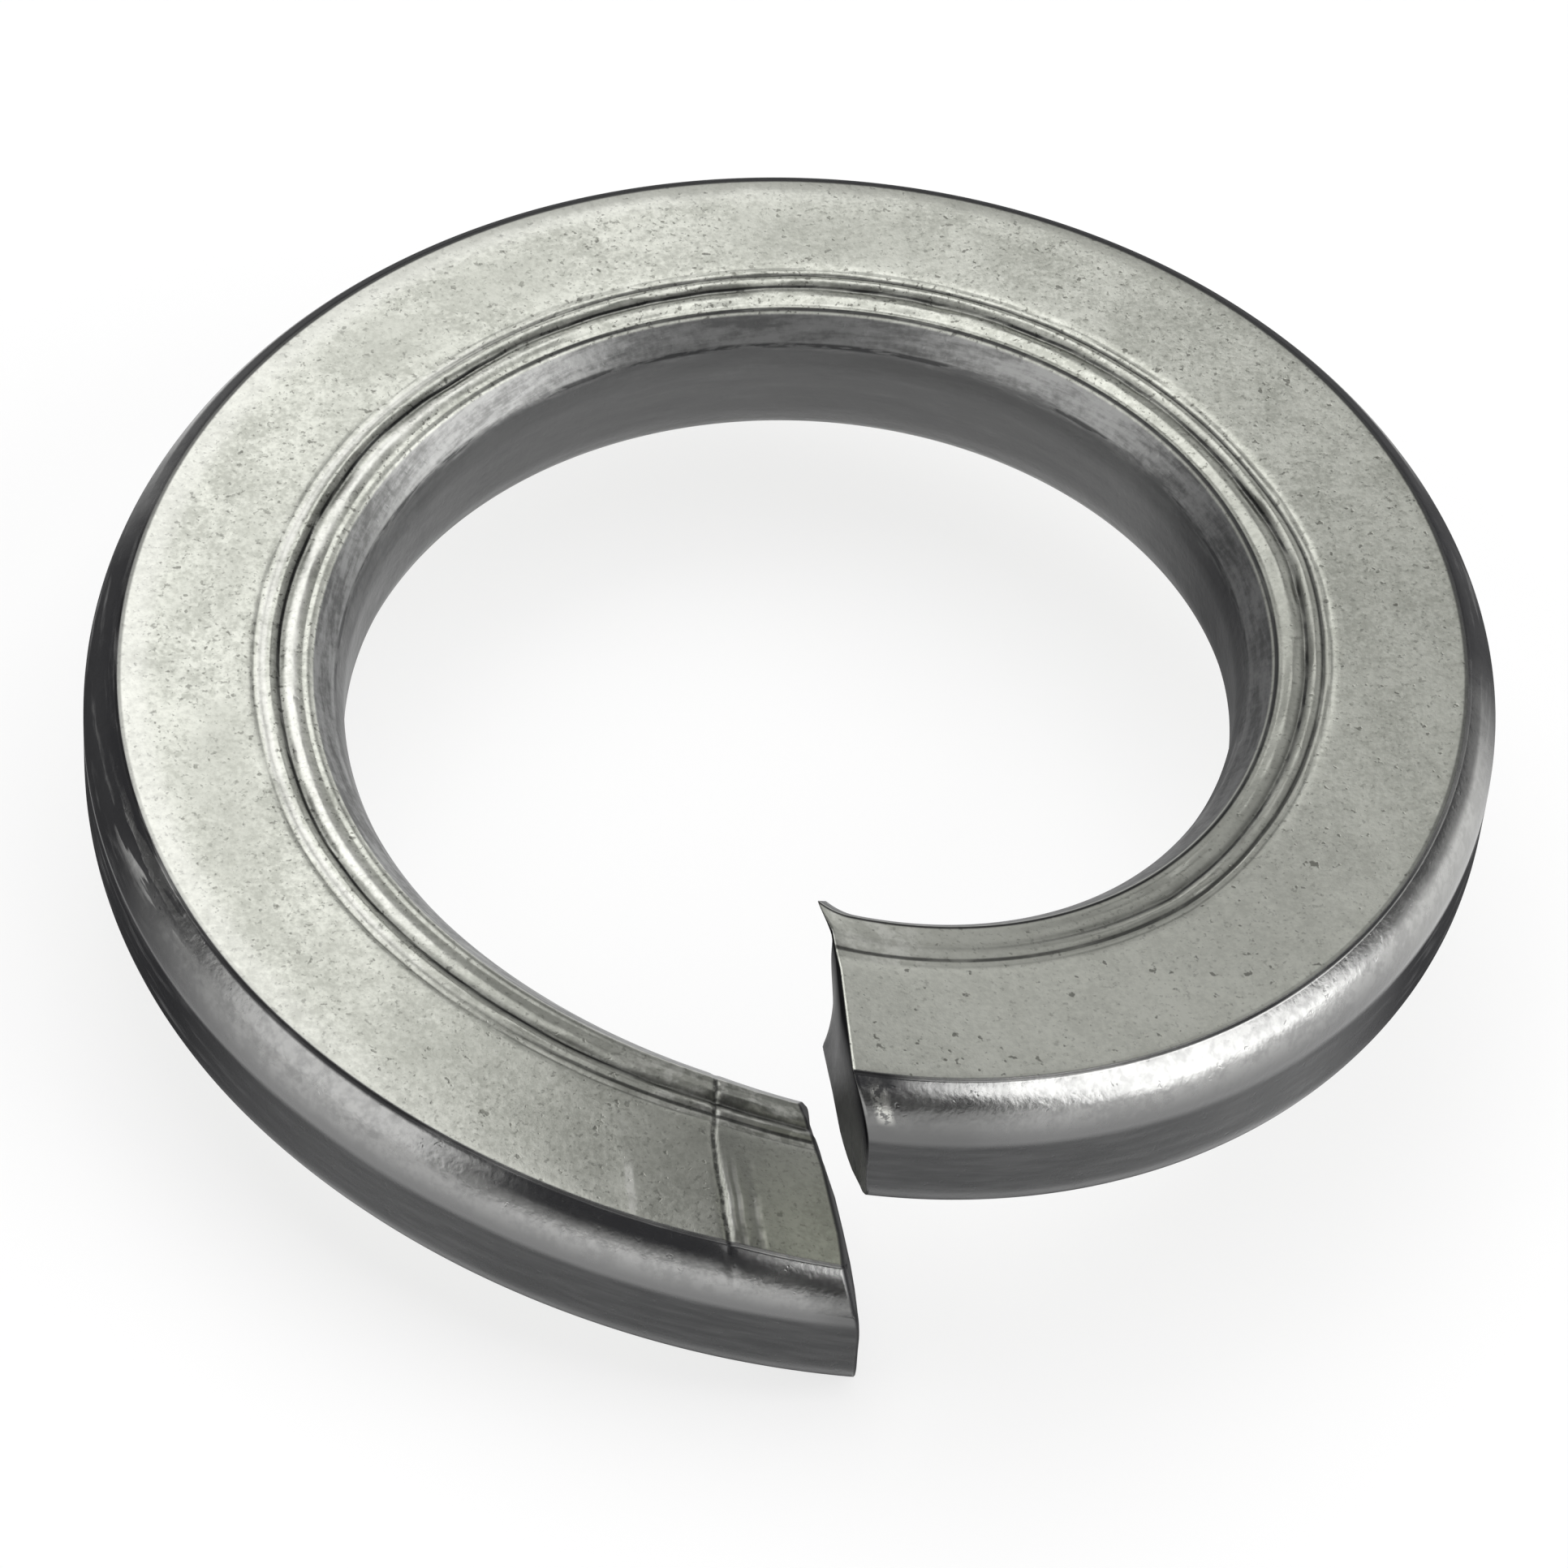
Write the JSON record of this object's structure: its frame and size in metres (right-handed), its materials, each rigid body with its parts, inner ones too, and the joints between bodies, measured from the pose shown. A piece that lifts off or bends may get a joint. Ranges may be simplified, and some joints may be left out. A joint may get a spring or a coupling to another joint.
{
  "type": "helical spring lock washer",
  "caption": "Split spring lock washer: flattened wire coiled left-handed through a full turn, its cut ends bent apart to bite under a bolt head or nut.",
  "frame": {"origin": "on the axis of the bolt hole, level with the lowest corner of the lower cut end", "axes": "+Z along the bolt hole, towards the upper cut end; the split faces -Y"},
  "size_m": [0.0324, 0.0324, 0.011],
  "materials": {
    "washer": "bright zinc-plated spring steel, rolled and drawn, slightly pitted"
  },
  "bodies": {
    "root": {"washer": "washer"}
  },
  "joints": []
}
